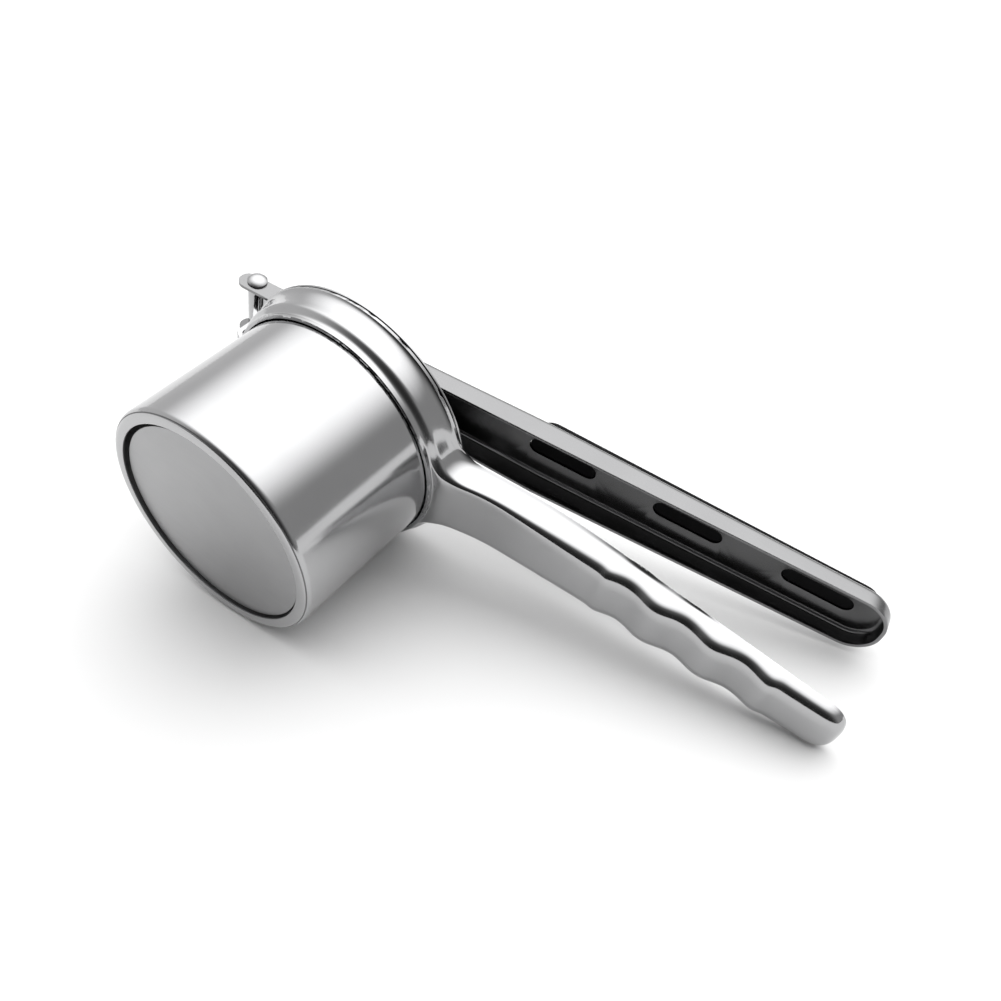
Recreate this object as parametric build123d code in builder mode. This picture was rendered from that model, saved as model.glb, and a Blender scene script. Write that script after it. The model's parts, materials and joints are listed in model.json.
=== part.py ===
from build123d import *
import os
from math import atan, cos, degrees, pi, radians, sin, sqrt

# Potato ricer, in millimetres. It is designed in the frame of its use: Z is the hopper's axis
# with the lever on top, X runs along the handle, Y along the hinge pin, and Z is zero where
# the hopper leaves the collar. At the end every piece is laid on its side, the way it rests.

# Hopper: a drawn cup with an open bottom, held by its flange
hopper_radius = 42.5
hopper_sheet = 0.8
hopper_bottom = -56.7
hopper_corner = 2.4
opening_radius = 37.7
flange_step = 0.2

# Frame: one pressed sheet that makes the collar and the channel-shaped handle
frame_sheet = 1.2
collar_bore = 43.0
neck_height = 1.8
collar_radius = 46.2
collar_edge_round = 1.6
rim_radius = 48.0
rim_top = 13.8
handle_tip_x = 193.5
handle_half_width = 12.3
handle_taper_x = 105.0
handle_tip_round = 7.0
handle_edge_round = 4.6
handle_root_round = 7.0
handle_root_x = 49.3
handle_taper = 0.024
open_side = 15.0
loft_places = (43.0, 45.0, 47.5, 49.6, 57.0, 66.0, 80.0, 95.0)
last_loft_place = 181.0
tip_loft_gaps = (3.6, 1.3, 0.2)
front_root = 6.6
front_root_x = 60.0
front_slope = 0.067
front_droop = 0.0075
root_end = 70.0
rear_crest = 20.3
rear_crest_x = 100.0
rear_climb = 0.0019
rear_slope = 0.004
groove_pitch = 21.0
first_groove_x = 116.0
groove_depth = 1.1
groove_count = 3
clear_above = 30.0
clear_below = -5.0

# Hinge
hinge_x = -59.9
hinge_z = 26.2
barrel_radius = 3.4
barrel_half_length = 10.4
rivet_radius = 1.8
rivet_head_radius = 3.65
rivet_head_height = 2.2
running_gap = 0.05
lug_half_width = 8.0
lug_sheet = 2.0
lug_bend = 2.5
lug_foot_z = 4.5
lug_foot_rise = 1.5
lug_wall_gap = 1.0

# Lever: a channel whose open side faces the hopper
lever_sheet = 1.2
lever_angle = degrees(atan(0.168))
web_above_pin = 2.2
lever_tip = 252.3
ear_half_width = 11.8
ears_parallel_to = 20.0
blank_depth = 30.0
blank_margin = 5.0
lever_wide_at = 121.5
lever_half_width = 14.3
lever_tip_half_width = 12.6
lever_tip_round = 11.5
lever_edge_round = 3.0
web_start = 13.0
ear_end = -6.3
ear_end_round = 3.5
depth_at_hinge = 7.3
depth_at_wide = 9.8
depth_at_tip = 7.2
slot_length = 26.5
slot_width = 6.8
slot_first = 128.5
slot_pitch = 49.2
slot_count = 3

# Grip pad: a black moulding on the back of the lever, with a boss in each slot
pad_thickness = 3.3
pad_start = 116.0
pad_end = 247.0
pad_start_half_width = 11.7
pad_end_half_width = 9.4
pad_corner_round = 7.0
pad_edge_round = 1.2
boss_gap = 0.15

# Plunger
plate_radius = 37.0
plate_face = -55.6
plate_sheet = 1.2
plate_rim = 2.2
plate_corner = 0.6
plate_offset_x = 0.5
bracket_sheet = 1.5
bracket_half_width = 10.2
bracket_foot = 15.0
pivot_x = -3.0
pivot_z = 32.6
pivot_radius = 2.0
pivot_eye = 3.6
pivot_head_radius = 3.4
pivot_head_height = 1.5
side_gap = 0.1

# How it lies: turned on its side, then leaned until collar, hopper and handle tip touch down
lean_angle = 11.81
roll_angle = 4.86

# Length of a cut that goes right through a piece
through = 100.0


def front_height(x):
    """Height of the handle's gripping face: a sloping line with finger grooves, low at its root."""
    height = front_root + front_slope * (x - front_root_x)
    if x < root_end:
        height = max(neck_height, height - front_droop * (root_end - x) ** 2)
    reach = (x - first_groove_x) / groove_pitch
    if -0.5 <= reach <= groove_count - 0.5:
        height += groove_depth * cos(2 * pi * reach)
    return height


def rear_height(x):
    """Height of the handle's free edge, which climbs out of the collar's rim and runs on nearly level."""
    if x < rear_crest_x:
        return rear_crest - rear_climb * (rear_crest_x - x) ** 2
    return rear_crest + rear_slope * (x - rear_crest_x)


def handle_section(x, sheet):
    """Cross-section of the handle at x; sheet insets it to the inner face of the pressing."""
    tip = handle_tip_x - sheet
    half = handle_half_width - handle_taper * max(0.0, x - handle_taper_x) - sheet
    tip_round = handle_tip_round - sheet
    root_round = handle_root_round + sheet
    beyond = x - (tip - tip_round)
    if beyond > 0:
        half -= tip_round - sqrt(tip_round**2 - beyond**2)
    before = handle_root_x - x
    if before > 0:
        half += root_round - sqrt(root_round**2 - before**2)
    low = front_height(x) + sheet
    high = rear_height(x) + (open_side if sheet else 0.0)
    with BuildSketch(Plane.YZ.offset(x)) as section:
        Polygon((-half, low), (half, low), (half, high), (-half, high), align=None)
        fillet(section.vertices().group_by(Axis.Y)[0], handle_edge_round - sheet)
    return section.sketch


def handle_body(sheet):
    """Solid inside the handle's outer face (sheet 0) or its inner face (sheet its thickness)."""
    tip = handle_tip_x - sheet
    stations = list(loft_places)
    stations += [first_groove_x + i * groove_pitch / 4 for i in range(-2, 4 * groove_count - 1)]
    stations += [last_loft_place, tip - handle_tip_round + sheet]
    stations += [tip - gap for gap in tip_loft_gaps]
    with BuildPart() as body:
        for x in stations:
            add(handle_section(x, sheet))
        loft()
    return body.part


def disc(radius, low, high):
    """A solid disc about the hopper's axis."""
    with BuildPart(Plane.XY.offset(low)) as body:
        Cylinder(radius, high - low, align=(Align.CENTER, Align.CENTER, Align.MIN))
    return body.part


def domed_pin(radius, head_radius, head_height, grip_half, x, z):
    """A pin along Y with a domed head at each end; grip_half is half the length between heads."""
    ball = (head_radius**2 + head_height**2) / (2 * head_height)
    end = grip_half + head_height
    with BuildPart() as pin:
        with BuildSketch(Plane.XY.offset(z)):
            with BuildLine():
                Line((x, -end), (x, end))
                RadiusArc((x, end), (x + head_radius, grip_half), ball)
                Polyline((x + head_radius, grip_half), (x + radius, grip_half), (x + radius, -grip_half),
                         (x + head_radius, -grip_half))
                RadiusArc((x + head_radius, -grip_half), (x, -end), ball)
            make_face()
        revolve(axis=Axis((x, 0, z), (0, 1, 0)))
    return pin


# Frame: the collar is turned, the handle is lofted, and the channel runs on into the collar
neck_radius = collar_bore + frame_sheet
collar_inner = collar_radius - frame_sheet
with BuildPart() as frame:
    with BuildSketch(Plane.XZ):
        with BuildLine():
            Polyline((collar_bore, 0), (neck_radius, 0), (neck_radius, neck_height),
                     (collar_radius, neck_height), (collar_radius, rim_top - frame_sheet),
                     (rim_radius, rim_top - frame_sheet), (rim_radius, rim_top),
                     (collar_inner, rim_top), (collar_inner, neck_height + frame_sheet),
                     (collar_bore, neck_height + frame_sheet), (collar_bore, 0))
        make_face()
    revolve(axis=Axis.Z)
    collar_edges = frame.edges().filter_by(GeomType.CIRCLE)
    fillet([e for e in collar_edges if abs(e.radius - collar_radius) < 0.01], collar_edge_round)
    add(handle_body(0))
    add(handle_body(frame_sheet), mode=Mode.SUBTRACT)
    add(disc(collar_inner, neck_height + frame_sheet, clear_above), mode=Mode.SUBTRACT)
    add(disc(collar_bore, clear_below, clear_above), mode=Mode.SUBTRACT)
    add(disc(rim_radius, rim_top, clear_above), mode=Mode.SUBTRACT)
frame.part.label = "frame"

# Hopper: drawn cup, rounded at the bottom, with an inward lip and an outward flange
hopper_bore = hopper_radius - hopper_sheet
flange_radius = rim_radius - flange_step
with BuildPart() as hopper:
    with BuildSketch(Plane.XZ):
        with BuildLine():
            Polyline((opening_radius, hopper_bottom), (hopper_radius, hopper_bottom),
                     (hopper_radius, rim_top), (flange_radius, rim_top),
                     (flange_radius, rim_top + hopper_sheet), (hopper_bore, rim_top + hopper_sheet),
                     (hopper_bore, hopper_bottom + hopper_sheet),
                     (opening_radius, hopper_bottom + hopper_sheet), (opening_radius, hopper_bottom))
        make_face()
    revolve(axis=Axis.Z)
    circles = hopper.edges().filter_by(GeomType.CIRCLE)
    low_circles = [e for e in circles if e.center().Z < hopper_bottom + 2]
    fillet([e for e in low_circles if abs(e.radius - hopper_bore) < 0.01], hopper_corner - hopper_sheet)
    fillet([e for e in low_circles if abs(e.radius - hopper_radius) < 0.01], hopper_corner)
hopper.part.label = "hopper"

# Hinge knuckle: a barrel for the rivet, on a strap that is welded to the collar's wall
lug_reach = rim_radius + lug_wall_gap
with BuildPart() as hinge_knuckle:
    with BuildSketch(Plane.XZ.offset(-lug_half_width)):
        with BuildLine():
            FilletPolyline((-collar_inner, lug_foot_z), (-lug_reach, lug_foot_z + lug_foot_rise),
                           (-lug_reach, rim_top), (hinge_x + lug_sheet / 2, hinge_z), radius=lug_bend)
            offset(amount=lug_sheet / 2)
        make_face()
    extrude(amount=2 * lug_half_width)
    with BuildSketch(Plane.XZ.offset(-barrel_half_length)):
        with Locations((hinge_x, hinge_z)):
            Circle(barrel_radius)
    extrude(amount=2 * barrel_half_length)
    with BuildSketch(Plane.XZ.offset(-barrel_half_length)):
        with Locations((hinge_x, hinge_z)):
            Circle(rivet_radius + running_gap)
    extrude(amount=2 * barrel_half_length, mode=Mode.SUBTRACT)
    add(disc(collar_radius, neck_height, rim_top), mode=Mode.SUBTRACT)
    add(disc(rim_radius, rim_top - frame_sheet - collar_edge_round, rim_top), mode=Mode.SUBTRACT)
hinge_knuckle.part.label = "hinge_knuckle"

hinge_rivet = domed_pin(rivet_radius, rivet_head_radius, rivet_head_height,
                        ear_half_width + side_gap, hinge_x, hinge_z)
hinge_rivet.part.label = "hinge_rivet"

# Lever: seen from its own plane, with its origin on the hinge pin and X along its web
lean = radians(lever_angle)
along_lever = (cos(lean), 0, sin(lean))
lever_top = Plane(origin=(hinge_x, 0, hinge_z), x_dir=along_lever, z_dir=(-sin(lean), 0, cos(lean)))
lever_side = Plane(origin=lever_top.origin, x_dir=lever_top.x_dir, z_dir=(0, -1, 0))


def channel(sheet):
    """Solid inside the lever channel's outer face (sheet 0) or inner face (sheet its thickness)."""
    start = ear_end - blank_margin
    with BuildPart() as body:
        with BuildSketch(lever_top.offset(web_above_pin - sheet)):
            ear = ear_half_width - sheet
            wide = lever_half_width - sheet
            tip = lever_tip_half_width - sheet
            end = lever_tip - sheet
            Polygon((start, -ear), (ears_parallel_to, -ear), (lever_wide_at, -wide), (end, -tip),
                    (end, tip), (lever_wide_at, wide), (ears_parallel_to, ear), (start, ear), align=None)
        extrude(amount=-blank_depth)
        corners = body.edges().filter_by(Axis(lever_top.origin, lever_top.z_dir))
        corners = corners.sort_by(Axis(lever_top.origin, lever_top.x_dir))
        fillet(corners[-2:], lever_tip_round - sheet)
        top = body.faces().sort_by(Axis(lever_top.origin, lever_top.z_dir))[-1]
        rim = top.edges().sort_by(Axis(lever_top.origin, lever_top.x_dir))[1:]
        fillet(rim, lever_edge_round - sheet)
    return body.part


with BuildPart() as lever:
    add(channel(0))
    add(channel(lever_sheet), mode=Mode.SUBTRACT)
    with BuildSketch(lever_side.offset(-through / 2)) as profile:
        Polygon((ear_end, web_above_pin), (lever_tip, web_above_pin),
                (lever_tip, web_above_pin - depth_at_tip), (lever_wide_at, web_above_pin - depth_at_wide),
                (ear_end, web_above_pin - depth_at_hinge), align=None)
        fillet(profile.vertices().group_by(Axis.X)[0], ear_end_round)
    extrude(amount=through, mode=Mode.INTERSECT)
    with BuildSketch(lever_top.offset(-blank_depth / 2)):
        with Locations((web_start, 0)):
            Rectangle(blank_depth, 2 * (ear_half_width - lever_sheet), align=(Align.MAX, Align.CENTER))
    extrude(amount=blank_depth, mode=Mode.SUBTRACT)
    with BuildSketch(lever_top.offset(web_above_pin - 2 * lever_sheet)):
        with Locations([(slot_first + i * slot_pitch, 0) for i in range(slot_count)]):
            SlotOverall(slot_length, slot_width)
    extrude(amount=4 * lever_sheet, mode=Mode.SUBTRACT)
    with BuildSketch(Plane.XZ.offset(-through / 2)):
        with Locations((hinge_x, hinge_z)):
            Circle(rivet_radius + running_gap)
        with Locations((pivot_x, pivot_z)):
            Circle(pivot_radius)
    extrude(amount=through, mode=Mode.SUBTRACT)
lever.part.label = "lever"

with BuildPart() as grip_pad:
    with BuildSketch(lever_top.offset(web_above_pin)) as pad_outline:
        Polygon((pad_start, -pad_start_half_width), (pad_end, -pad_end_half_width),
                (pad_end, pad_end_half_width), (pad_start, pad_start_half_width), align=None)
        fillet(pad_outline.vertices(), pad_corner_round)
    extrude(amount=pad_thickness)
    fillet(grip_pad.faces().sort_by(Axis(lever_top.origin, lever_top.z_dir))[-1].edges(), pad_edge_round)
    with BuildSketch(lever_top.offset(web_above_pin)):
        with Locations([(slot_first + i * slot_pitch, 0) for i in range(slot_count)]):
            SlotOverall(slot_length - 2 * boss_gap, slot_width - 2 * boss_gap)
    extrude(amount=-lever_sheet)
grip_pad.part.label = "grip_pad"

# Press plate: a shallow pan with an upturned rim, open towards the lever
with BuildPart(Plane.XY.offset(plate_face)) as press_plate:
    with Locations((plate_offset_x, 0)):
        Cylinder(plate_radius, plate_rim, align=(Align.CENTER, Align.CENTER, Align.MIN))
    fillet(press_plate.edges().sort_by(Axis.Z)[0], plate_corner)
    with Locations((plate_offset_x, 0, plate_sheet)):
        Cylinder(plate_radius - plate_sheet, plate_rim, align=(Align.CENTER, Align.CENTER, Align.MIN),
                 mode=Mode.SUBTRACT)
press_plate.part.label = "press_plate"

# Plunger bracket: a folded channel with a foot on the plate and an eye at the top of each leg
foot = plate_face + plate_sheet
bracket_inner = bracket_half_width - bracket_sheet
with BuildPart() as plunger_bracket:
    with BuildSketch(Plane.XZ.offset(-bracket_half_width)):
        Polygon((plate_offset_x - bracket_foot, foot), (plate_offset_x + bracket_foot, foot),
                (pivot_x + pivot_eye, pivot_z), (pivot_x - pivot_eye, pivot_z), align=None)
        with Locations((pivot_x, pivot_z)):
            Circle(pivot_eye)
    extrude(amount=2 * bracket_half_width)
    with BuildSketch(Plane.XZ.offset(-bracket_inner)):
        with Locations((0, foot + bracket_sheet)):
            Rectangle(through, through, align=(Align.CENTER, Align.MIN))
    extrude(amount=2 * bracket_inner, mode=Mode.SUBTRACT)
    with BuildSketch(Plane.XZ.offset(-through / 2)):
        with Locations((pivot_x, pivot_z)):
            Circle(pivot_radius + running_gap)
    extrude(amount=through, mode=Mode.SUBTRACT)
plunger_bracket.part.label = "plunger_bracket"

# Plunger pin: its heads clear the lever's sides, which spread apart towards the lever's middle
along = (pivot_x - hinge_x) * cos(lean) + (pivot_z - hinge_z) * sin(lean)
spread = (lever_half_width - ear_half_width) / (lever_wide_at - ears_parallel_to)
pivot_half = ear_half_width + spread * (along + pivot_head_radius - ears_parallel_to)
plunger_pin = domed_pin(pivot_radius, pivot_head_radius, pivot_head_height,
                        pivot_half + side_gap, pivot_x, pivot_z)
plunger_pin.part.label = "plunger_pin"

# Laid on its side, with its origin under the middle of its box
pieces = [frame, hopper, hinge_knuckle, hinge_rivet, lever, grip_pad,
          press_plate, plunger_bracket, plunger_pin]
turned = Location((0, 0, 0), (0, lean_angle, 0)) * Location((0, 0, 0), (roll_angle - 90, 0, 0))
boxes = [piece.part.moved(turned).bounding_box() for piece in pieces]
low = Vector(*(min(getattr(box.min, axis) for box in boxes) for axis in "XYZ"))
high = Vector(*(max(getattr(box.max, axis) for box in boxes) for axis in "XYZ"))
lying = Location((-(low.X + high.X) / 2, -(low.Y + high.Y) / 2, -low.Z)) * turned

os.makedirs("parts", exist_ok=True)
for piece in pieces:
    export_step(piece.part.moved(lying), f"parts/{piece.part.label}.step")
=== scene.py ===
import json
from math import acos, atan2, cos, degrees, hypot, pi, radians, sin, sqrt

import bmesh
import bpy
from mathutils import Matrix, Vector


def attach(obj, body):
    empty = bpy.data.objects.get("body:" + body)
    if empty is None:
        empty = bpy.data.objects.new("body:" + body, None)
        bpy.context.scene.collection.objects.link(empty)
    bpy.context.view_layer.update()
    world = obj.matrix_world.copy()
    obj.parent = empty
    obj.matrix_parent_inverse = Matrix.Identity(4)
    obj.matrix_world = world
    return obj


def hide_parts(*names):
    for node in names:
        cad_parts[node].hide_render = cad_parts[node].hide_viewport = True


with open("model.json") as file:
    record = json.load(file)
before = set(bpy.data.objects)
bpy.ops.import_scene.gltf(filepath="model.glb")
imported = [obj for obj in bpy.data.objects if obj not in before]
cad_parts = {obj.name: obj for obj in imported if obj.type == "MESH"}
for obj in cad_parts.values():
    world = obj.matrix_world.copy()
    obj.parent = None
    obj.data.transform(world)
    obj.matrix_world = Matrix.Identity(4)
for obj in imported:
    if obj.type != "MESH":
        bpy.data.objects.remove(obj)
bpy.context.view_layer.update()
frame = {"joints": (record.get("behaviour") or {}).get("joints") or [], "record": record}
print("frame loaded")

# The ricer is built in millimetres as it is used: X along the handle, Z up the hopper's axis,
# Y along the hinge pin. useFrame then lays every piece down where the frame says.
hinge = next(j for j in frame["joints"] if j["name"] == "lever_hinge")
swing = next(j for j in frame["joints"] if j["name"] == "plunger_swing")
lip = next(m for m in frame["record"]["mounts"] if m["name"] == "hopper_lip")

use = {
    "hingeX": -59.9,  # hinge pin from the hopper's axis
    "hingeZ": 26.2,  # hinge pin above the bottom of the collar
}
up = -Vector(lip["axis"]).normalized()
across = -Vector(hinge["axis"]).normalized()
along = across.cross(up).normalized()
zero = Vector(hinge["pos_m"]) - along * use["hingeX"] / 1000 - up * use["hingeZ"] / 1000
turnOfUse = Matrix((along, across, up)).transposed().to_4x4()
useFrame = Matrix.Translation(zero) @ turnOfUse @ Matrix.Scale(0.001, 4)


def inUse(point):
    return useFrame.inverted() @ Vector(point)  # a frame point, in use and in millimetres


def meshOf(name, points, faces):
    mesh = bpy.data.meshes.new(name)
    mesh.from_pydata([tuple(p) for p in points], [], faces)
    mesh.validate()
    return mesh


def gridFaces(rows, columns, closed, start=0):
    # quads of a grid of points kept row by row; closed joins the last column to the first
    faces = []
    for i in range(rows - 1):
        for j in range(columns if closed else columns - 1):
            k = (j + 1) % columns
            a, b = start + i * columns + j, start + i * columns + k
            faces.append((a, b, b + columns, a + columns))
    return faces


def addModifier(piece, kind, settings):
    modifier = piece.modifiers.new(kind, kind)
    for key, value in settings.items():
        setattr(modifier, key, value)


def finished(piece, sharpAngle=32):
    # applies the modifiers, turns the faces outward and lays the piece down in the frame
    graph = bpy.context.evaluated_depsgraph_get()
    mesh = bpy.data.meshes.new_from_object(piece.evaluated_get(graph))
    piece.modifiers.clear()
    piece.data = mesh
    work = bmesh.new()
    work.from_mesh(mesh)
    bmesh.ops.remove_doubles(work, verts=work.verts, dist=0.0005)
    bmesh.ops.recalc_face_normals(work, faces=work.faces)
    work.to_mesh(mesh)
    work.free()
    mesh.transform(useFrame)
    mesh.shade_smooth()
    mesh.set_sharp_from_angle(angle=radians(sharpAngle))
    return piece


def newPiece(name, mesh, modifiers=()):
    piece = bpy.data.objects.new(name, mesh)
    bpy.context.scene.collection.objects.link(piece)
    for kind, settings in modifiers:
        addModifier(piece, kind, settings)
    return piece


def settle(piece, material, body, slotName, *nodes):
    # the last step of every piece: its finish, its body and the CAD node that it stands for
    if not piece.data.materials:
        piece.data.materials.append(material)
    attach(piece, body)
    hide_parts(*nodes)


def arcPoints(centre, radius, start, end, steps):
    # points round an arc, angles in degrees
    angles = [radians(start + (end - start) * i / steps) for i in range(steps + 1)]
    return [(centre[0] + radius * cos(a), centre[1] + radius * sin(a)) for a in angles]


def rounded(corners, steps=5):
    # a closed outline of (x, y, radius) corners, with an arc at every corner that has a radius
    outline = []
    for i, (x, y, radius) in enumerate(corners):
        here = Vector((x, y))
        before = (Vector(corners[i - 1][:2]) - here).normalized()
        after = (Vector(corners[(i + 1) % len(corners)][:2]) - here).normalized()
        if radius == 0:
            outline.append((x, y))
            continue
        half = acos(max(-1, min(1, before.dot(after)))) / 2
        centre = here + (before + after).normalized() * radius / sin(half)
        reach = radius * cos(half) / sin(half)
        first, last = here + before * reach - centre, here + after * reach - centre
        turn = first.angle_signed(last)
        startAngle = atan2(first.y, first.x)
        for k in range(steps + 1):
            angle = startAngle - turn * k / steps
            outline.append((centre.x + radius * cos(angle), centre.y + radius * sin(angle)))
    return outline


def turned(name, outline, steps, centreX=0.0):
    # a closed outline of (radius, height) turned about the hopper's axis
    angles = [2 * pi * k / steps for k in range(steps)]
    points = []
    for r, z in outline:
        points += [(centreX + r * cos(a), r * sin(a), z) for a in angles]
    faces = gridFaces(len(outline), steps, True)
    last = (len(outline) - 1) * steps
    faces += [(last + k, last + (k + 1) % steps, (k + 1) % steps, k) for k in range(steps)]
    return meshOf(name, points, faces)


def turnedAboutPin(name, outline, steps, x, z):
    # an outline of (radius, place along Y) that starts and ends on the pin's axis, turned about it
    angles = [2 * pi * k / steps for k in range(steps)]
    points = [(x, outline[0][1], z)]
    for r, y in outline[1:-1]:
        points += [(x + r * cos(a), y, z + r * sin(a)) for a in angles]
    points.append((x, outline[-1][1], z))
    faces = gridFaces(len(outline) - 2, steps, True, 1)
    top, first = len(points) - 1, len(points) - 1 - steps
    faces += [(0, 1 + (k + 1) % steps, 1 + k) for k in range(steps)]
    faces += [(top, first + k, first + (k + 1) % steps) for k in range(steps)]
    return meshOf(name, points, faces)


def thickened(sheet, **more):
    # the skin made into sheet metal, inwards
    settings = {"thickness": sheet, "offset": -1, "use_even_offset": True, "use_quality_normals": True}
    return ("SOLIDIFY", {**settings, **more})


def softEdges(width, segments, sharperThan=50):
    return ("BEVEL", {"width": width, "segments": segments, "limit_method": "ANGLE",
                      "angle_limit": radians(sharperThan)})


def turnOver(work, face, shouldLookUp):
    # reverses the whole skin if the given face looks the wrong way
    if (face.normal.z > 0) != shouldLookUp:
        bmesh.ops.reverse_faces(work, faces=work.faces)


def nodesOf(material):
    material.use_nodes = True
    tree = material.node_tree
    tree.nodes.clear()
    output = tree.nodes.new("ShaderNodeOutputMaterial")
    shader = tree.nodes.new("ShaderNodeBsdfPrincipled")
    tree.links.new(shader.outputs[0], output.inputs[0])
    return tree, shader


def noise(tree, coordinates, scale, detail=4.0, stretch=(1, 1, 1)):
    mapping = tree.nodes.new("ShaderNodeMapping")
    mapping.inputs["Scale"].default_value = stretch
    tree.links.new(coordinates, mapping.inputs[0])
    texture = tree.nodes.new("ShaderNodeTexNoise")
    texture.inputs["Scale"].default_value = scale
    texture.inputs["Detail"].default_value = detail
    tree.links.new(mapping.outputs[0], texture.inputs["Vector"])
    return texture.outputs["Fac"]


def remapped(tree, value, low, high, fromLow=0.0, fromHigh=1.0):
    spread = tree.nodes.new("ShaderNodeMapRange")
    spread.inputs["From Min"].default_value = fromLow
    spread.inputs["From Max"].default_value = fromHigh
    spread.inputs["To Min"].default_value = low
    spread.inputs["To Max"].default_value = high
    tree.links.new(value, spread.inputs[0])
    return spread.outputs[0]


def mixed(tree, share, first, second):
    mix = tree.nodes.new("ShaderNodeMix")
    mix.data_type = "RGBA"
    mix.inputs["A"].default_value = (*first, 1)
    mix.inputs["B"].default_value = (*second, 1)
    tree.links.new(share, mix.inputs["Factor"])
    return mix.outputs["Result"]


def bumped(tree, shader, value, strength, distance):
    bump = tree.nodes.new("ShaderNodeBump")
    bump.inputs["Strength"].default_value = strength
    bump.inputs["Distance"].default_value = distance
    tree.links.new(value, bump.inputs["Height"])
    tree.links.new(bump.outputs[0], shader.inputs["Normal"])


def useCoordinates(tree):
    # the piece's own coordinates, turned back to the frame of use, in metres
    coordinates = tree.nodes.new("ShaderNodeTexCoord").outputs["Object"]
    turn = tree.nodes.new("ShaderNodeMapping")
    turn.vector_type = "TEXTURE"
    turn.inputs["Location"].default_value = zero
    turn.inputs["Rotation"].default_value = useFrame.to_euler()
    tree.links.new(coordinates, turn.inputs[0])
    return turn.outputs[0]


steelSettings = {
    "light": (0.44, 0.44, 0.445),
    "dark": (0.39, 0.39, 0.395),
    "roughness": (0.10, 0.15),
    "polishScale": 60.0,
    "scratchScale": 2400.0,
    "scratchHeight": 0.0000015,
}


def polishedSteel(name, stretch, roughness=None, shade=1.0, scratch=1.0):
    # stretch draws the polishing lines out along the axis that it is small on
    material = bpy.data.materials.new(name)
    tree, shader = nodesOf(material)
    place = useCoordinates(tree)
    cloud = noise(tree, place, steelSettings["polishScale"])
    lines = noise(tree, place, steelSettings["scratchScale"], 3.0, stretch)
    dark, light = (tuple(c * shade for c in steelSettings[key]) for key in ("dark", "light"))
    tree.links.new(mixed(tree, cloud, dark, light), shader.inputs["Base Color"])
    low, high = roughness or steelSettings["roughness"]
    tree.links.new(remapped(tree, lines, low, high, 0.3, 0.7), shader.inputs["Roughness"])
    shader.inputs["Metallic"].default_value = 1.0
    bumped(tree, shader, lines, 0.25, steelSettings["scratchHeight"] * scratch)
    return material


hopperSteel = polishedSteel("hopper_steel", (1, 1, 0.03))
frameSteel = polishedSteel("frame_steel", (0.05, 1, 1))
leverSteel = polishedSteel("lever_steel", (0.04, 1, 1), (0.2, 0.24), 0.52, 0.5)
# the lever's steel made darker for the channel's inside faces: painted shade
leverPaintedShadeSteel = polishedSteel("lever_painted_shade_inside_finish", (0.04, 1, 1), (0.21, 0.24), 0.3, 0.08)
plateSteel = polishedSteel("plate_steel", (0.05, 1, 1), (0.3, 0.36), 0.8)
# a rougher inside finish, its colour darkened as painted shade
paintedShadeInsideSteel = polishedSteel("painted_shade_inside_finish", (1, 1, 1), (0.4, 0.55), 0.4)
pinSteel = polishedSteel("pin_steel", (1, 1, 1), (0.12, 0.2))

gripSettings = {
    "colour": (0.0025, 0.0025, 0.003),
    "specular": 0.08,
    "roughness": (0.45, 0.62),
    "grainScale": 1600.0,
    "grainHeight": 0.00003,
}


def blackGrip():
    material = bpy.data.materials.new("black_grip")
    tree, shader = nodesOf(material)
    place = useCoordinates(tree)
    grain = noise(tree, place, gripSettings["grainScale"], 2.0)
    shader.inputs["Base Color"].default_value = (*gripSettings["colour"], 1)
    shader.inputs["Specular IOR Level"].default_value = gripSettings["specular"]
    tree.links.new(remapped(tree, grain, *gripSettings["roughness"]), shader.inputs["Roughness"])
    bumped(tree, shader, grain, 0.5, gripSettings["grainHeight"])
    return material


gripBlack = blackGrip()
print("finishes ready")


hopper = {
    "radius": 42.5,
    "sheet": 0.8,
    "bottom": -56.7,
    "corner": 2.4,  # rounding of the bottom rim
    "opening": 37.7,
    "flange": 47.8,
    "flangeHeight": 13.8,
    "flangeBend": 1.0,
    "underFlange": 0.3,  # rounding between the wall and the flange's underside
    "edgeShare": 0.35,  # rounding of the sheet's cut edges, as a share of its thickness
    "boreMargin": 0.01,  # faces this near the bore and the opening get the rougher inside finish, its colour darkened as painted shade
    "openingMargin": 0.12,
    "boreFrom": 0.5,  # height above the bottom where the bore begins
    "steps": 256,
}


def makeHopper():
    h = hopper
    inner = h["radius"] - h["sheet"]
    floorZ, top = h["bottom"] + h["sheet"], h["flangeHeight"] + h["sheet"]
    edge = h["sheet"] * h["edgeShare"]
    outline = rounded([
        (h["opening"], h["bottom"], edge), (h["radius"], h["bottom"], h["corner"]),
        (h["radius"], h["flangeHeight"], h["underFlange"]), (h["flange"], h["flangeHeight"], edge),
        (h["flange"], top, edge), (inner, top, h["flangeBend"]),
        (inner, floorZ, h["corner"] - h["sheet"]), (h["opening"], floorZ, edge),
    ], 8)
    piece = finished(newPiece("drawn_hopper", turned("drawn_hopper", outline, h["steps"])))
    settle(piece, hopperSteel, "frame", "polished_steel", "hopper")
    # the bore and the opening's edge get the rougher finish whose darker colour is painted shade
    piece.data.materials.append(paintedShadeInsideSteel)
    back = useFrame.inverted()
    for face in piece.data.polygons:
        place = back @ face.center
        radius = hypot(place.x, place.y)
        inBore = radius < inner + h["boreMargin"] and place.z > h["bottom"] + h["boreFrom"]
        if inBore or radius < h["opening"] + h["openingMargin"]:
            face.material_index = 1


makeHopper()
print("hopper made")


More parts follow.
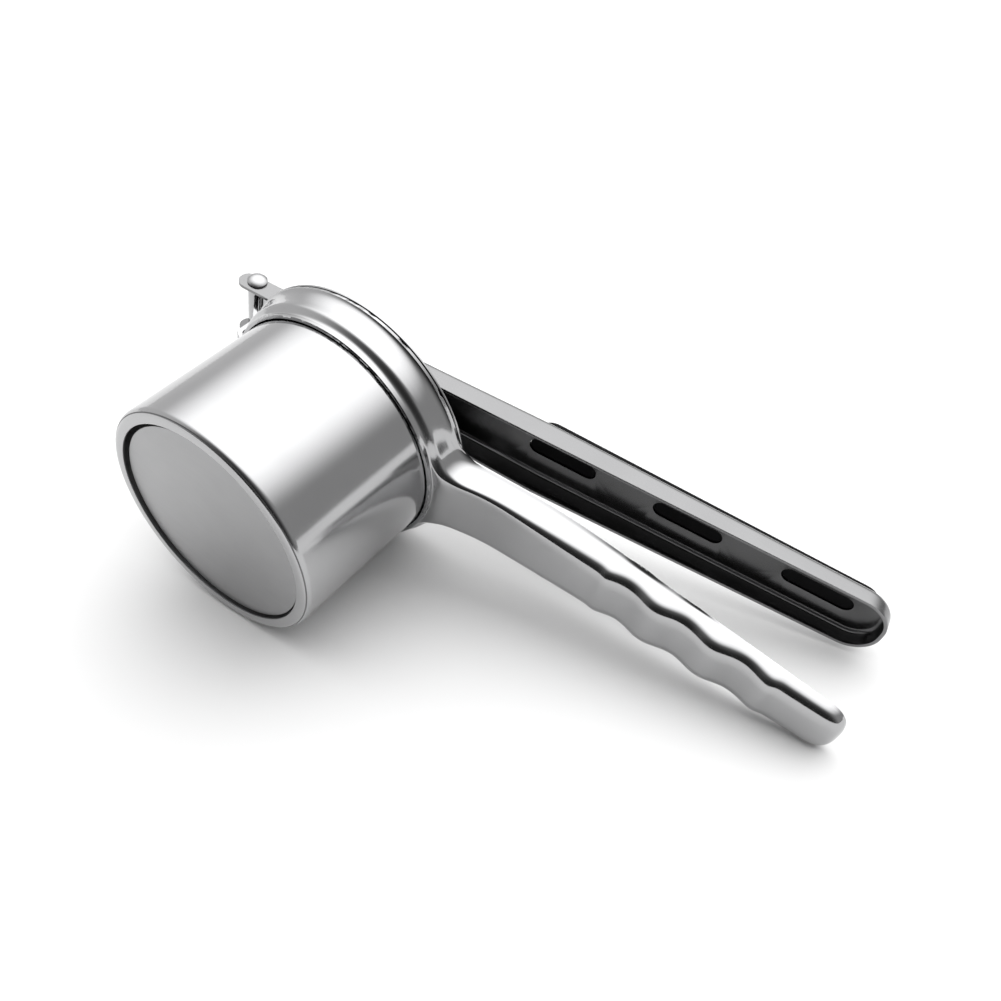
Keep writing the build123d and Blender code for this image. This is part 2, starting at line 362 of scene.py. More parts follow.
# the frame: collar and handle in one pressed sheet
pressing = {
    "sheet": 1.2,
    "neckRadius": 44.3,  # outside of the neck round the hopper
    "neckHeight": 1.5,
    "wallRadius": 46.2,
    "collarBend": 2.0,
    "collarCurl": 3.0,  # height over which the wall draws in to the neck
    "curlShare": 0.75,  # the most of the wall's height that a bend may take
    "rimTop": 13.5,
    "flangeWidth": 1.8,
    "flare": ((1, 0), (0.8, 0.02), (0.5, 0.18), (0.2, 0.48), (0, 1)),  # how the wall curls out
    "flareDrop": 4.6,
    "lipFlare": ((1, 0), (0.82, 0.1), (0.42, 0.32), (0.12, 0.62), (0, 1)),
    "lipDrop": 4.4,
    "plainDrop": 3.8,
    "rootRound": 12.0,  # plan radius where the handle leaves the collar
    "halfWidth": 12.3,
    "taperFrom": 105.0,
    "taper": 0.024,
    "handleBend": 5.4,  # rounding between the handle's face and its sides
    "bendGrows": (48.0, 115.0),
    "tip": 193.5,
    "tipRound": 7.0,
    "stationGap": 2.625,
    "crossSteps": 8,
    "ringGap": 6.5,  # degrees between the collar's columns
    "lipWidth": 1.05,
    "lipEnds": (110.0, 172.0),  # the lip fades out between these
    "dropShare": 0.6,  # the most of the wall's height that the flare may take
    "filletSteps": 4,
    "tipAngles": (60, 30, 0),
    "bulgeSteps": 7,  # stations over which the collar's curve fades out of the handle's face
    "edgeBevel": 0.3,
}
handle = {
    "faceHeight": 6.6,
    "faceAt": 60.0,
    "faceSlope": 0.067,
    "rootEnd": 70.0,
    "rootDroop": 0.0075,
    "grooveFirst": 116.0,
    "groovePitch": 21.0,
    "grooveDepth": 1.1,
    "grooveCount": 3,
    "edgeCrest": 20.3,
    "edgeCrestAt": 100.0,
    "edgeClimb": 0.0019,
    "edgeSlope": 0.004,
    "clearOfRoot": 100.0,  # beyond this its lowest face looks straight down
}


def faceHeight(x):
    g = handle
    height = g["faceHeight"] + g["faceSlope"] * (x - g["faceAt"])
    if x < g["rootEnd"]:
        height = max(pressing["neckHeight"], height - g["rootDroop"] * (g["rootEnd"] - x) ** 2)
    reach = (x - g["grooveFirst"]) / g["groovePitch"]
    if -0.5 <= reach <= g["grooveCount"] - 0.5:
        height += g["grooveDepth"] * cos(2 * pi * reach)
    return height


def edgeHeight(x):
    g = handle
    if x < g["edgeCrestAt"]:
        return max(pressing["rimTop"], g["edgeCrest"] - g["edgeClimb"] * (g["edgeCrestAt"] - x) ** 2)
    return g["edgeCrest"] + g["edgeSlope"] * (x - g["edgeCrestAt"])


def blendOf(value, low, high):
    share = max(0.0, min(1.0, (value - low) / (high - low)))
    return share * share * (3 - 2 * share)


def bendAt(x):
    # the edge between the handle's face and its sides is sharp at the root and full in the grip
    p = pressing
    return p["collarBend"] + (p["handleBend"] - p["collarBend"]) * blendOf(x, *p["bendGrows"])


def pressingColumns():
    # the pressing's plan outline, half way round the collar and along the handle's +Y side to its tip:
    # place, outward direction, bend, lip width, share of lip, heights of edge and face, share of handle
    p = pressing
    centreY = p["halfWidth"] + p["rootRound"]
    reach = p["wallRadius"] + p["rootRound"]
    rootAngle = degrees(atan2(centreY, sqrt(reach**2 - centreY**2)))
    rootX = reach * cos(radians(rootAngle))
    columns = []
    count = round((180 - rootAngle) / p["ringGap"])
    for k in range(count + 1):
        angle = radians(180 - (180 - rootAngle) * k / count)
        out = Vector((cos(angle), sin(angle)))
        columns.append((out * p["wallRadius"], out, p["collarBend"], p["flangeWidth"], 1.0,
                        p["rimTop"], p["neckHeight"], 0.0))
    for k in range(1, p["filletSteps"] + 1):  # the fillet between collar and handle
        angle = radians(180 + rootAngle + (90 - rootAngle) * k / p["filletSteps"])
        inward = Vector((cos(angle), sin(angle)))
        place = Vector((rootX, centreY)) + inward * p["rootRound"]
        toHandle = blendOf(k, 0, p["filletSteps"] + 1)
        width = p["flangeWidth"] + (p["lipWidth"] - p["flangeWidth"]) * toHandle
        columns.append((place, -inward, bendAt(place.x), width, 1.0,
                        edgeHeight(place.x), faceHeight(place.x), toHandle))
    tipStart = p["tip"] - p["tipRound"]
    count = round((tipStart - rootX) / p["stationGap"])
    for k in range(1, count + 1):
        x = rootX + (tipStart - rootX) * k / count
        half = p["halfWidth"] - p["taper"] * max(0.0, x - p["taperFrom"])
        out = Vector((p["taper"] if x > p["taperFrom"] else 0, 1)).normalized()
        share = 1 - blendOf(x, *p["lipEnds"])
        columns.append((Vector((x, half)), out, bendAt(x), p["lipWidth"], share,
                        edgeHeight(x), faceHeight(x), 1.0))
    tipHalf = p["halfWidth"] - p["taper"] * (tipStart - p["taperFrom"])
    corner = Vector((tipStart, tipHalf - p["tipRound"]))
    ends = []
    for angle in p["tipAngles"]:  # the tip's round corner
        out = Vector((cos(radians(angle)), sin(radians(angle))))
        ends.append((corner + out * p["tipRound"], out))
    ends.append((Vector((p["tip"], 0)), Vector((1, 0))))
    for place, out in ends:
        columns.append((place, out, p["handleBend"], 0.0, 0.0,
                        edgeHeight(place.x), faceHeight(place.x), 1.0))
    return columns


def mixedPairs(first, second, share):
    return [(a[0] + (b[0] - a[0]) * share, a[1] + (b[1] - a[1]) * share) for a, b in zip(first, second)]


def wallRows(column):
    # the skin from the free edge down the wall and round the bend: (outward offset, height)
    p = pressing
    place, out, bend, width, share, edge, face, toHandle = column
    curl = p["collarCurl"] + (bend - p["collarCurl"]) * toHandle
    curl = min(curl, p["curlShare"] * (edge - face))
    lipTop, low = edge - p["sheet"], face + curl
    flare = mixedPairs(p["flare"], p["lipFlare"], toHandle)
    drop = min(p["flareDrop"] + (p["lipDrop"] - p["flareDrop"]) * toHandle,
               p["dropShare"] * (lipTop - low))
    lip = [(width * o, lipTop - drop * d) for o, d in flare]
    drop = min(p["plainDrop"], p["dropShare"] * (edge - low))
    plain = [(0.0, edge - t * drop) for t in (0, 0.15, 0.4, 0.7, 1)]
    rows = mixedPairs(plain, lip, share)
    high = rows[-1][1]
    rows += [(0.0, high + (low - high) * t) for t in (0.4, 0.8, 1.0)]
    angles = [radians(a) for a in (25, 45, 65, 90)]
    arc = [(-bend * (1 - cos(a)), face + curl * (1 - sin(a))) for a in angles]
    neck = [(-bend * (1 - blendOf(t, 0, 1)), face + curl * t) for t in (0.75, 0.5, 0.25, 0)]
    return rows + mixedPairs(neck, arc, toHandle)


def makePressing():
    p = pressing
    half = pressingColumns()
    mirrored = [(Vector((c[0].x, -c[0].y)), Vector((c[1].x, -c[1].y)), *c[2:]) for c in half]
    columns = half + mirrored[-2:0:-1]  # all the way round, starting and ending at the collar's far side
    total = len(columns)
    walls = [[(c[0].x + c[1].x * o, c[0].y + c[1].y * o, z) for o, z in wallRows(c)] for c in columns]
    rows = list(zip(*walls))
    points = [point for row in rows for point in row]
    faces = gridFaces(len(rows), total, True)
    bottomRow = (len(rows) - 1) * total

    ringCount = sum(1 for c in half if abs(c[0].length - p["wallRadius"]) < 0.001)
    crossSteps = p["crossSteps"]
    rootIndex = ringCount - 1  # the last collar column before the handle
    otherRoot = total - rootIndex

    # the handle's face: rows of points across it, from the collar's neck out to the tip
    start, end = Vector(points[bottomRow + rootIndex]), Vector(points[bottomRow + otherRoot])
    ringRadius = hypot(start.x, start.y)
    rootAngle = atan2(start.y, start.x)
    grid = []
    firstRow = [bottomRow + rootIndex]
    for j in range(1, crossSteps):
        angle = rootAngle * (1 - 2 * j / crossSteps)
        points.append((ringRadius * cos(angle), ringRadius * sin(angle), p["neckHeight"]))
        firstRow.append(len(points) - 1)
    firstRow.append(bottomRow + otherRoot)
    grid.append(firstRow)
    bulge = ringRadius - start.x
    lastStation = len(half) - 2 - len(p["tipAngles"])
    for i in range(rootIndex + 1, lastStation + 1):
        a, b = bottomRow + i, bottomRow + total - i
        left, right = Vector(points[a]), Vector(points[b])
        fade = max(0.0, 1 - (i - rootIndex) / p["bulgeSteps"])
        row = [a]
        for j in range(1, crossSteps):
            t = j / crossSteps
            point = left.lerp(right, t)
            point.x += bulge * fade * (1 - (2 * t - 1) ** 2)
            point.z = faceHeight(point.x)
            points.append(tuple(point))
            row.append(len(points) - 1)
        row.append(b)
        grid.append(row)
    for row, after in zip(grid, grid[1:]):
        faces += [(row[j], row[j + 1], after[j + 1], after[j]) for j in range(crossSteps)]
    tipRow = [bottomRow + lastStation + k for k in range(crossSteps + 1)]
    last = grid[-1]
    faces += [(last[j], last[j + 1], tipRow[j + 1], tipRow[j]) for j in range(1, crossSteps - 1)]
    faces += [(last[0], last[1], tipRow[1]), (last[-2], last[-1], tipRow[-2])]

    # the neck, all the way round under the collar and the handle's root
    loop = [bottomRow + (k % total) for k in range(otherRoot, total)]
    loop += [bottomRow + k for k in range(0, rootIndex + 1)] + firstRow[1:-1]
    levels = [(p["neckRadius"], p["neckHeight"] * share) for share in (0.65, 0.3, 0.0)]
    above = loop
    for radius, z in levels:
        below = []
        for index in loop:
            angle = atan2(points[index][1], points[index][0])
            points.append((radius * cos(angle), radius * sin(angle), z))
            below.append(len(points) - 1)
        for k in range(len(loop)):
            n = (k + 1) % len(loop)
            faces.append((above[k], above[n], below[n], below[k]))
        above = below

    skin = meshOf("pressed_frame", points, faces)
    work = bmesh.new()
    work.from_mesh(skin)
    bmesh.ops.recalc_face_normals(work, faces=work.faces)
    gripFaces = [f for f in work.faces if f.calc_center_median().x > handle["clearOfRoot"]]
    lowest = min(gripFaces, key=lambda f: f.calc_center_median().z)
    turnOver(work, lowest, False)
    work.to_mesh(skin)
    work.free()
    piece = newPiece("pressed_frame", skin, [
        ("SUBSURF", {"levels": 2, "render_levels": 2}),
        thickened(p["sheet"]),
        softEdges(p["edgeBevel"], 3),
    ])
    settle(finished(piece), frameSteel, "frame", "polished_steel", "frame")


makePressing()
print("frame made")


lever = {
    "slope": 0.168,  # rise of its web along the hopper's radius, closed
    "sheet": 1.2,
    "webAbovePin": 2.2,
    "earEnd": -6.3,
    "earRound": 3.5,
    "webStart": 13.0,
    "webRelief": 3.0,  # length over which the bend runs out into the flat ear
    "earHalf": 11.8,
    "earsParallelTo": 20.0,
    "wideAt": 121.5,
    "wideHalf": 14.3,
    "tip": 252.3,
    "tipHalf": 12.6,
    "tipRound": 11.5,
    "bend": 3.0,
    "depths": (7.3, 9.8, 7.2),  # of the sides at the hinge, the widest place and the tip
    "slotFirst": 128.5,
    "slotPitch": 49.2,
    "slotCount": 3,
    "slotLength": 26.5,
    "slotWidth": 6.8,
    "earStops": (3.0, 6.5, 9.5, 11.0),  # where the skin has columns between the ear and the web's start
    "reliefStops": (14.5, 16.0),
    "stations": 28,
    "edgeBevel": 0.22,
}
leverLean = atan2(lever["slope"], 1)


def fromLever(u, v, w):
    # a point given along the lever, across it and above its pin
    c, s = cos(leverLean), sin(leverLean)
    return (use["hingeX"] + u * c - w * s, v, use["hingeZ"] + u * s + w * c)


def between(u, places, values):
    for (u0, a), (u1, b) in zip(zip(places, values), zip(places[1:], values[1:])):
        if u <= u1:
            return a + (b - a) * max(0.0, u - u0) / (u1 - u0)
    return values[-1]


def leverHalf(u):
    l = lever
    return between(u, (l["earEnd"], l["earsParallelTo"], l["wideAt"], l["tip"]),
                   (l["earHalf"], l["earHalf"], l["wideHalf"], l["tipHalf"]))


def leverDepth(u):
    l = lever
    return between(u, (l["earEnd"], l["wideAt"], l["tip"]), l["depths"])


def leverColumns():
    # along one side and round to the middle of the tip: place along and across, outward direction
    l = lever
    columns = []
    for k in range(9):  # the ear's rounded end
        u = l["earEnd"] + l["earRound"] * (1 - cos(pi / 2 * k / 8))
        columns.append((Vector((u, leverHalf(u))), Vector((0, 1))))
    tipStart = l["tip"] - l["tipRound"]
    count, straight = l["stations"], l["earsParallelTo"]
    stops = [*l["earStops"], l["webStart"], *l["reliefStops"], straight]
    stops += [straight + (tipStart - straight) * k / count for k in range(1, count + 1)]
    for u in stops:
        columns.append((Vector((u, leverHalf(u))), Vector((0, 1))))
    centre = Vector((tipStart, leverHalf(tipStart) - l["tipRound"]))
    for k in range(1, 13):
        angle = pi / 2 * (1 - k / 12)
        out = Vector((cos(angle), sin(angle)))
        columns.append((centre + out * l["tipRound"], out))
    columns.append((Vector((l["tip"], 0)), Vector((1, 0))))
    return columns


def leverRows(u):
    # the skin from the free edge up the side and round the bend: outward offset and height
    l = lever
    top = l["webAbovePin"]
    low = top - leverDepth(u)
    cut = 0.0
    if u < l["earEnd"] + l["earRound"]:
        back = l["earEnd"] + l["earRound"] - u
        cut = l["earRound"] - sqrt(max(0.0, l["earRound"] ** 2 - back**2))
    low, high = low + cut, top - cut
    curl = blendOf(u, l["webStart"] - l["webRelief"], l["webStart"] + l["webRelief"])
    if u < l["earEnd"] + l["earRound"] + 0.01:
        curl = 0.0
    bendStart = max(low, high - l["bend"]) if cut == 0 else low + (high - low) * 0.5
    rows = [(0.0, low + (bendStart - low) * t) for t in (0, 0.33, 0.67, 1)]
    for k in range(1, 9):
        angle = pi / 2 * k / 8
        bent = (-l["bend"] * (1 - cos(angle)), top - l["bend"] + l["bend"] * sin(angle))
        flat = (0.0, bendStart + (high - bendStart) * k / 8)
        rows.append((bent[0] * curl + flat[0] * (1 - curl), bent[1] * curl + flat[1] * (1 - curl)))
    return rows


def slotOutline(length, width, steps=10):
    reach = (length - width) / 2
    right = arcPoints((reach, 0), width / 2, -90, 90, steps)
    return right + arcPoints((-reach, 0), width / 2, 90, 270, steps)


def filledPanel(work, loops):
    # fills the flat panel between an outer loop of bmesh vertices and its holes
    edges = []
    for loop in loops:
        for a, b in zip(loop, loop[1:] + loop[:1]):
            edges.append(work.edges.get((a, b)) or work.edges.new((a, b)))
    bmesh.ops.triangle_fill(work, use_beauty=True, use_dissolve=False, edges=edges)


def makeLever():
    l = lever
    half = leverColumns()
    mirrored = [(Vector((p.x, -p.y)), Vector((o.x, -o.y))) for p, o in half[:-1]]
    columns = half + mirrored[::-1]
    walls = [[(p.x + o.x * d, p.y + o.y * d, w) for d, w in leverRows(p.x)] for p, o in columns]
    rows = list(zip(*walls))
    points = [fromLever(*point) for row in rows for point in row]
    skin = meshOf("lever_channel", points, gridFaces(len(rows), len(columns), False))
    # the second finish, for the channel's inside faces, is darker as painted shade
    skin.materials.append(leverSteel)
    skin.materials.append(leverPaintedShadeSteel)
    work = bmesh.new()
    work.from_mesh(skin)
    work.verts.ensure_lookup_table()
    first = next(i for i, (place, _) in enumerate(half) if abs(place.x - l["webStart"]) < 0.01)
    lastRow = (len(rows) - 1) * len(columns)
    border = [work.verts[lastRow + i] for i in range(first, len(columns) - first)]
    loops = [border]
    for k in range(l["slotCount"]):
        middle = l["slotFirst"] + k * l["slotPitch"]
        loops.append([work.verts.new(fromLever(middle + u, v, l["webAbovePin"]))
                      for u, v in slotOutline(l["slotLength"], l["slotWidth"])])
    filledPanel(work, loops)
    bmesh.ops.recalc_face_normals(work, faces=work.faces)
    web = max(work.faces, key=lambda f: f.calc_area())
    turnOver(work, web, True)
    work.to_mesh(skin)
    work.free()
    # material_offset puts the painted-shade finish on the solidified inside faces
    piece = newPiece("lever_channel", skin, [
        thickened(l["sheet"], material_offset=1),
        softEdges(l["edgeBevel"], 2),
    ])
    settle(finished(piece), leverSteel, "lever", "polished_steel", "lever")


makeLever()
print("lever made")


pad = {
    "start": 116.0,
    "end": 247.0,
    "startHalf": 11.7,
    "endHalf": 9.4,
    "endRound": 7.0,
    "thickness": 3.3,
    "edgeRound": 1.2,
    "crown": 0.35,
    "bossGap": 0.15,
    "bossHeight": 0.7,
    "bossChamfer": 0.3,
    "aboveWeb": 0.02,
    "crownReach": 5.0,  # width of the crown's slope inside the rounded edge
}


def padOutline(inset, steps=14):
    # straight sides that draw in towards the tip, with round corners
    p = pad
    radius = max(1.0, p["endRound"] - inset)
    corners = [(p["start"] + inset, inset - p["startHalf"], radius),
               (p["end"] - inset, inset - p["endHalf"], radius)]
    corners += [(u, -v, r) for u, v, r in reversed(corners)]
    return rounded(corners, steps)


def makePad():
    p, l = pad, lever
    base = l["webAbovePin"] + p["aboveWeb"]
    side, edge = p["thickness"] - p["crown"], p["edgeRound"]
    levels = [(0.0, 0.0), (0.0, (side - edge) * 0.6), (0.0, side - edge)]
    angles = [pi / 2 * k / 6 for k in range(1, 7)]
    levels += [(edge * (1 - cos(a)), side - edge * (1 - sin(a))) for a in angles]
    for t in (0.2, 0.45, 0.7, 1.0):
        levels.append((edge + p["crownReach"] * t, side + p["crown"] * sin(pi / 2 * t)))
    work = bmesh.new()
    loops = []
    for inset, height in levels:
        loops.append([work.verts.new(fromLever(u, v, base + height)) for u, v in padOutline(inset)])
    for low, high in zip(loops, loops[1:]):
        for k in range(len(low)):
            n = (k + 1) % len(low)
            work.faces.new((low[k], low[n], high[n], high[k]))
    work.faces.new(loops[-1])
    bosses = []
    length, width = l["slotLength"] - 2 * p["bossGap"], l["slotWidth"] - 2 * p["bossGap"]
    outline = slotOutline(length, width)
    inner = slotOutline(length - 2 * p["bossChamfer"], width - 2 * p["bossChamfer"])
    for k in range(l["slotCount"]):
        place = l["slotFirst"] + k * l["slotPitch"]
        upper = [work.verts.new(fromLever(place + u, v, base)) for u, v in outline]
        lower = [work.verts.new(fromLever(place + u, v, base - p["bossHeight"] + p["bossChamfer"]))
                 for u, v in outline]
        face = [work.verts.new(fromLever(place + u, v, base - p["bossHeight"])) for u, v in inner]
        for a, b in ((upper, lower), (lower, face)):
            for j in range(len(a)):
                n = (j + 1) % len(a)
                work.faces.new((a[j], b[j], b[n], a[n]))
        work.faces.new(face)
        bosses.append(upper)
    filledPanel(work, [loops[0]] + bosses)
    mesh = bpy.data.meshes.new("grip_moulding")
    bmesh.ops.recalc_face_normals(work, faces=work.faces)
    work.to_mesh(mesh)
    work.free()
    settle(finished(newPiece("grip_moulding", mesh), 40), gripBlack, "lever", "black_grip", "grip_pad")


makePad()
print("grip pad made")


knuckle = {
    "barrelRadius": 3.4,
    "barrelHalf": 10.4,
    "boreRadius": 1.9,
    "strapHalf": 8.0,
    "strapSheet": 1.9,
    "footZ": 4.5,
    "reach": 49.0,  # of the strap's outside from the hopper's axis
    "wallX": 46.2,
    "rimTop": 13.8,
    "bend": 2.5,
    "footRise": 1.5,  # from the foot to the bend above it
    "strapEnd": (2.2, -2.6),  # from the pin's axis, inside the barrel
    "boreEdge": 0.2,
    "barrelEdge": 0.4,
    "edgeBevel": 0.25,
    "steps": 64,
}
rivet = {"radius": 1.8, "headRadius": 3.65, "headHeight": 2.0, "gripHalf": 11.9, "edge": 0.6}
plungerPin = {"radius": 2.0, "headRadius": 3.4, "headHeight": 1.5, "gripHalf": 12.9, "edge": 0.25}


def pinOutline(pin):
    # half the outline of a pin with two domed heads: a short straight edge, then the dome
    radius, height, edge = pin["headRadius"], pin["headHeight"], pin["edge"]
    dome = height - edge
    ball = (radius**2 + dome**2) / (2 * dome)
    reach = atan2(radius, ball - dome)
    grip = pin["gripHalf"]
    angles = [reach * k / 12 for k in range(13)]
    side = [(ball * sin(a), grip + edge + ball * cos(a) - (ball - dome)) for a in angles]
    side += [(radius, grip + edge * 0.4), (radius - 0.15, grip), (pin["radius"], grip)]
    return [(0.0, side[0][1])] + side[1:] + [(r, -y) for r, y in reversed(side[1:])] + [(0.0, -side[0][1])]


def makePin(name, pin, x, z, body, node):
    mesh = turnedAboutPin(name, pinOutline(pin), 64, x, z)
    settle(finished(newPiece(name, mesh)), pinSteel, body, "polished_steel", node)


def makeKnuckle():
    k = knuckle
    half = k["strapSheet"] / 2
    barrel = bmesh.new()
    bore, outer, length = k["boreRadius"], k["barrelRadius"], k["barrelHalf"]
    outline = rounded([(bore, -length, k["boreEdge"]), (outer, -length, k["barrelEdge"]),
                       (outer, length, k["barrelEdge"]), (bore, length, k["boreEdge"])], 3)
    steps = k["steps"]
    angles = [2 * pi * i / steps for i in range(steps)]
    rings = []
    for r, y in outline:
        rings.append([barrel.verts.new((use["hingeX"] + r * cos(a), y, use["hingeZ"] + r * sin(a)))
                      for a in angles])
    for a, b in zip(rings, rings[1:] + rings[:1]):
        for i in range(steps):
            n = (i + 1) % steps
            barrel.faces.new((a[i], a[n], b[n], b[i]))
    # the strap: a bent path from the collar's wall up to the barrel, given a thickness
    endX, endZ = k["strapEnd"]
    corners = [(-k["wallX"], k["footZ"], 0), (-k["reach"], k["footZ"] + k["footRise"], k["bend"]),
               (-k["reach"], k["rimTop"], k["bend"]), (use["hingeX"] + endX, use["hingeZ"] + endZ, 0)]
    path = [Vector(corners[0][:2])]
    for i in (1, 2):
        arc = rounded([(*corners[i - 1][:2], 0), corners[i], (*corners[i + 1][:2], 0)], 8)[1:-1]
        path += [Vector(point) for point in arc]
    path.append(Vector(corners[3][:2]))
    sections = []
    for i, point in enumerate(path):
        direction = (path[min(i + 1, len(path) - 1)] - path[max(i - 1, 0)]).normalized()
        normal = Vector((-direction.y, direction.x)) * half
        section = ((-k["strapHalf"], -1), (k["strapHalf"], -1), (k["strapHalf"], 1), (-k["strapHalf"], 1))
        sections.append([barrel.verts.new((point.x + normal.x * s, y, point.y + normal.y * s))
                         for y, s in section])
    for a, b in zip(sections, sections[1:]):
        for i in range(4):
            n = (i + 1) % 4
            barrel.faces.new((a[i], a[n], b[n], b[i]))
    barrel.faces.new(sections[0])
    barrel.faces.new(sections[-1])
    mesh = bpy.data.meshes.new("knuckle")
    bmesh.ops.recalc_face_normals(barrel, faces=barrel.faces)
    barrel.to_mesh(mesh)
    barrel.free()
    piece = newPiece("knuckle", mesh, [softEdges(k["edgeBevel"], 3, 60)])
    settle(finished(piece), pinSteel, "frame", "polished_steel", "hinge_knuckle")


makeKnuckle()
makePin("hinge_pin", rivet, use["hingeX"], use["hingeZ"], "frame", "hinge_rivet")
pivot = inUse(swing["pos_m"])
makePin("pivot_pin", plungerPin, pivot.x, pivot.z, "lever", "plunger_pin")
print("hinge and pins made")


plunger = {
    "plateRadius": 36.7,
    "face": -55.6,
    "sheet": 1.2,
    "rim": 2.2,
    "corner": 0.35,
    "offsetX": 0.5,
    "bracketHalf": 10.2,
    "bracketSheet": 1.5,
    "bracketBend": 2.2,
    "foot": 15.0,
    "eye": 3.6,
    "acrossSteps": 10,
    "bracketBevel": 0.25,
}


def makePlate():
    p = plunger
    inner, floorZ = p["plateRadius"] - p["sheet"], p["face"] + p["sheet"]
    rimTop = p["face"] + p["rim"]
    outline = rounded([
        (0.01, p["face"], 0), (p["plateRadius"], p["face"], p["corner"]), (p["plateRadius"], rimTop, 0.3),
        (inner, rimTop, 0.3), (inner, floorZ, 0.4), (0.01, floorZ, 0),
    ])
    mesh = turned("dished_plate", outline, 192, p["offsetX"])
    settle(finished(newPiece("dished_plate", mesh)), plateSteel, "plunger", "satin_steel", "press_plate")


def makeBracket():
    # a strap folded to a U: up one leg, across the foot and up the other; its legs taper to the eyes
    p = plunger
    base = p["face"] + p["sheet"]
    half = p["bracketHalf"]
    bend = p["bracketBend"]
    height = pivot.z + p["eye"] - base
    path = [(half, base + height * t) for t in [1 - 0.004 * k for k in range(0, 28)]]
    path += [(half, base + height * t) for t in (0.8, 0.6, 0.4, 0.2)]
    angles = [pi / 2 * k / 8 for k in range(9)]
    path += [(half - bend * (1 - cos(a)), base + bend * (1 - sin(a))) for a in angles]
    path = path + [(-y, z) for y, z in reversed(path)]

    def reachAt(z):
        # fore and aft edges of the leg at this height, following the eye near the top
        share = (z - base) / (pivot.z - base)
        low, high = p["offsetX"] - p["foot"], p["offsetX"] + p["foot"]
        first = low + (pivot.x - p["eye"] - low) * min(1.0, share)
        last = high + (pivot.x + p["eye"] - high) * min(1.0, share)
        if z > pivot.z:
            width = sqrt(max(0.0, p["eye"] ** 2 - (z - pivot.z) ** 2))
            first, last = pivot.x - width, pivot.x + width
        return first, last

    count = p["acrossSteps"]
    points = []
    for y, z in path:
        first, last = reachAt(z)
        points += [(first + (last - first) * k / count, y, z) for k in range(count + 1)]
    mesh = meshOf("folded_bracket", points, gridFaces(len(path), count + 1, False))
    work = bmesh.new()
    work.from_mesh(mesh)
    bmesh.ops.recalc_face_normals(work, faces=work.faces)
    foot = min(work.faces, key=lambda f: abs(f.calc_center_median().y) + f.calc_center_median().z)
    turnOver(work, foot, False)
    work.to_mesh(mesh)
    work.free()
    piece = newPiece("folded_bracket", mesh, [
        thickened(p["bracketSheet"]),
        softEdges(p["bracketBevel"], 2),
    ])
    settle(finished(piece), leverSteel, "plunger", "satin_steel", "plunger_bracket")


makePlate()
makeBracket()
print("plunger made")


stage = {
    "side": 1.0,  # reach of the floor sheet to either side
    "near": 0.2,  # and towards the front, where the room is dark
    "far": 1.4,
    "turn": 32.0,  # degrees that its front edge is turned from the row's X
    "floorColour": (0.82, 0.82, 0.82),
    "belowPart": 0.0003,
}


def makeFloor():
    side, near, far = stage["side"], -stage["near"], stage["far"]
    corners = [(-side, near, 0), (side, near, 0), (side, far, 0), (-side, far, 0)]
    mesh = meshOf("floor", corners, [(0, 1, 2, 3)])
    floor = newPiece("floor", mesh)
    floor.rotation_euler.z = radians(stage["turn"])
    floor.location.z = -stage["belowPart"]
    material = bpy.data.materials.new("floor_white")
    tree, shader = nodesOf(material)
    shader.inputs["Base Color"].default_value = (*stage["floorColour"], 1)
    shader.inputs["Roughness"].default_value = 0.9
    mesh.materials.append(material)


makeFloor()

studio = {
    "ceiling": 2.7,  # radiance of the bright overhead panel
    "ceilingWay": (-0.05, 0.36, 0.93),  # where its middle is, leaning away from the camera
    "ceilingEdge": (0.42, 0.97),  # cosines from its middle: where it begins and where it is full
    "horizon": 0.45,
    "left": 0.85,  # the brighter side of the room
    "leftEdge": (0.1, 0.8),
    "front": 0.035,  # the dark side of the room, behind the camera
    "frontEdge": (0.25, 0.98),
    "frontTurn": 15.0,  # degrees from the row's -Y towards +X
    "backdrop": 1.0,
}


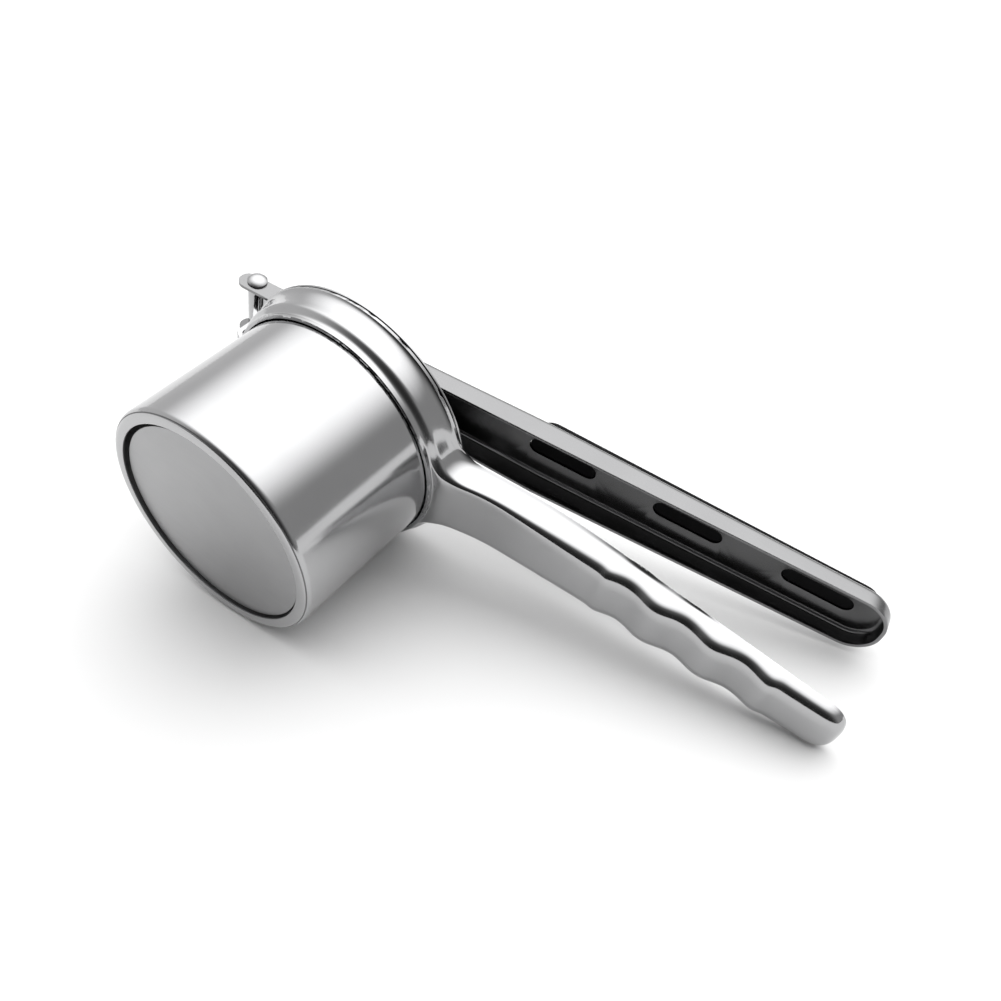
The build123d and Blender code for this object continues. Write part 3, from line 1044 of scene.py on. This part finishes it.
def makeLights():
    world = bpy.data.worlds.new("studio")
    bpy.context.scene.world = world
    world.use_nodes = True
    tree = world.node_tree
    tree.nodes.clear()
    direction = tree.nodes.new("ShaderNodeTexCoord").outputs["Generated"]

    def facing(way, low, high):
        dot = tree.nodes.new("ShaderNodeVectorMath")
        dot.operation = "DOT_PRODUCT"
        dot.inputs[1].default_value = way
        tree.links.new(direction, dot.inputs[0])
        spread = tree.nodes.new("ShaderNodeMapRange")
        spread.interpolation_type = "SMOOTHSTEP"
        spread.inputs["From Min"].default_value = low
        spread.inputs["From Max"].default_value = high
        tree.links.new(dot.outputs["Value"], spread.inputs[0])
        return spread.outputs[0]

    def mixOf(share, first, second):
        mix = tree.nodes.new("ShaderNodeMix")
        mix.inputs["A"].default_value = 0.0
        for value, socket in ((first, mix.inputs["A"]), (second, mix.inputs["B"])):
            if isinstance(value, float):
                socket.default_value = value
            else:
                tree.links.new(value, socket)
        tree.links.new(share, mix.inputs["Factor"])
        return mix.outputs["Result"]

    turn = radians(studio["frontTurn"])
    low = mixOf(facing((-1, 0, 0), *studio["leftEdge"]), studio["horizon"], studio["left"])
    low = mixOf(facing((sin(turn), -cos(turn), 0), *studio["frontEdge"]), low, studio["front"])
    glow = mixOf(facing(studio["ceilingWay"], *studio["ceilingEdge"]), low, studio["ceiling"])
    seen = tree.nodes.new("ShaderNodeLightPath").outputs["Is Camera Ray"]
    background = tree.nodes.new("ShaderNodeBackground")
    tree.links.new(mixOf(seen, glow, studio["backdrop"]), background.inputs["Strength"])
    output = tree.nodes.new("ShaderNodeOutputWorld")
    tree.links.new(background.outputs[0], output.inputs[0])
    background.inputs["Color"].default_value = (1, 1, 1, 1)


makeLights()

viewpoint = {
    "azimuth": 31.964,  # from the row's -Y, towards +X
    "elevation": 41.598,
    "roll": 4.559,
    "fromCollar": (0.204128, -0.212289, 0.22958),  # where it stands, from the middle of the collar
    "lens": 38.28,
    "sensor": 36.0,
}


def makeCamera():
    v = viewpoint
    data = bpy.data.cameras.new("camera")
    data.lens = v["lens"]
    data.sensor_width = v["sensor"]
    camera = bpy.data.objects.new("camera", data)
    bpy.context.scene.collection.objects.link(camera)
    a, e = radians(v["azimuth"]), radians(v["elevation"])
    back = Vector((sin(a) * cos(e), -cos(a) * cos(e), sin(e)))
    camera.location = zero + Vector(v["fromCollar"])
    turn = (-back).to_track_quat("-Z", "Y").to_matrix() @ Matrix.Rotation(radians(v["roll"]), 3, "Z")
    camera.rotation_euler = turn.to_euler()
    bpy.context.scene.camera = camera


makeCamera()
bpy.context.scene.view_settings.view_transform = "Standard"
print("stage, lights and camera ready")
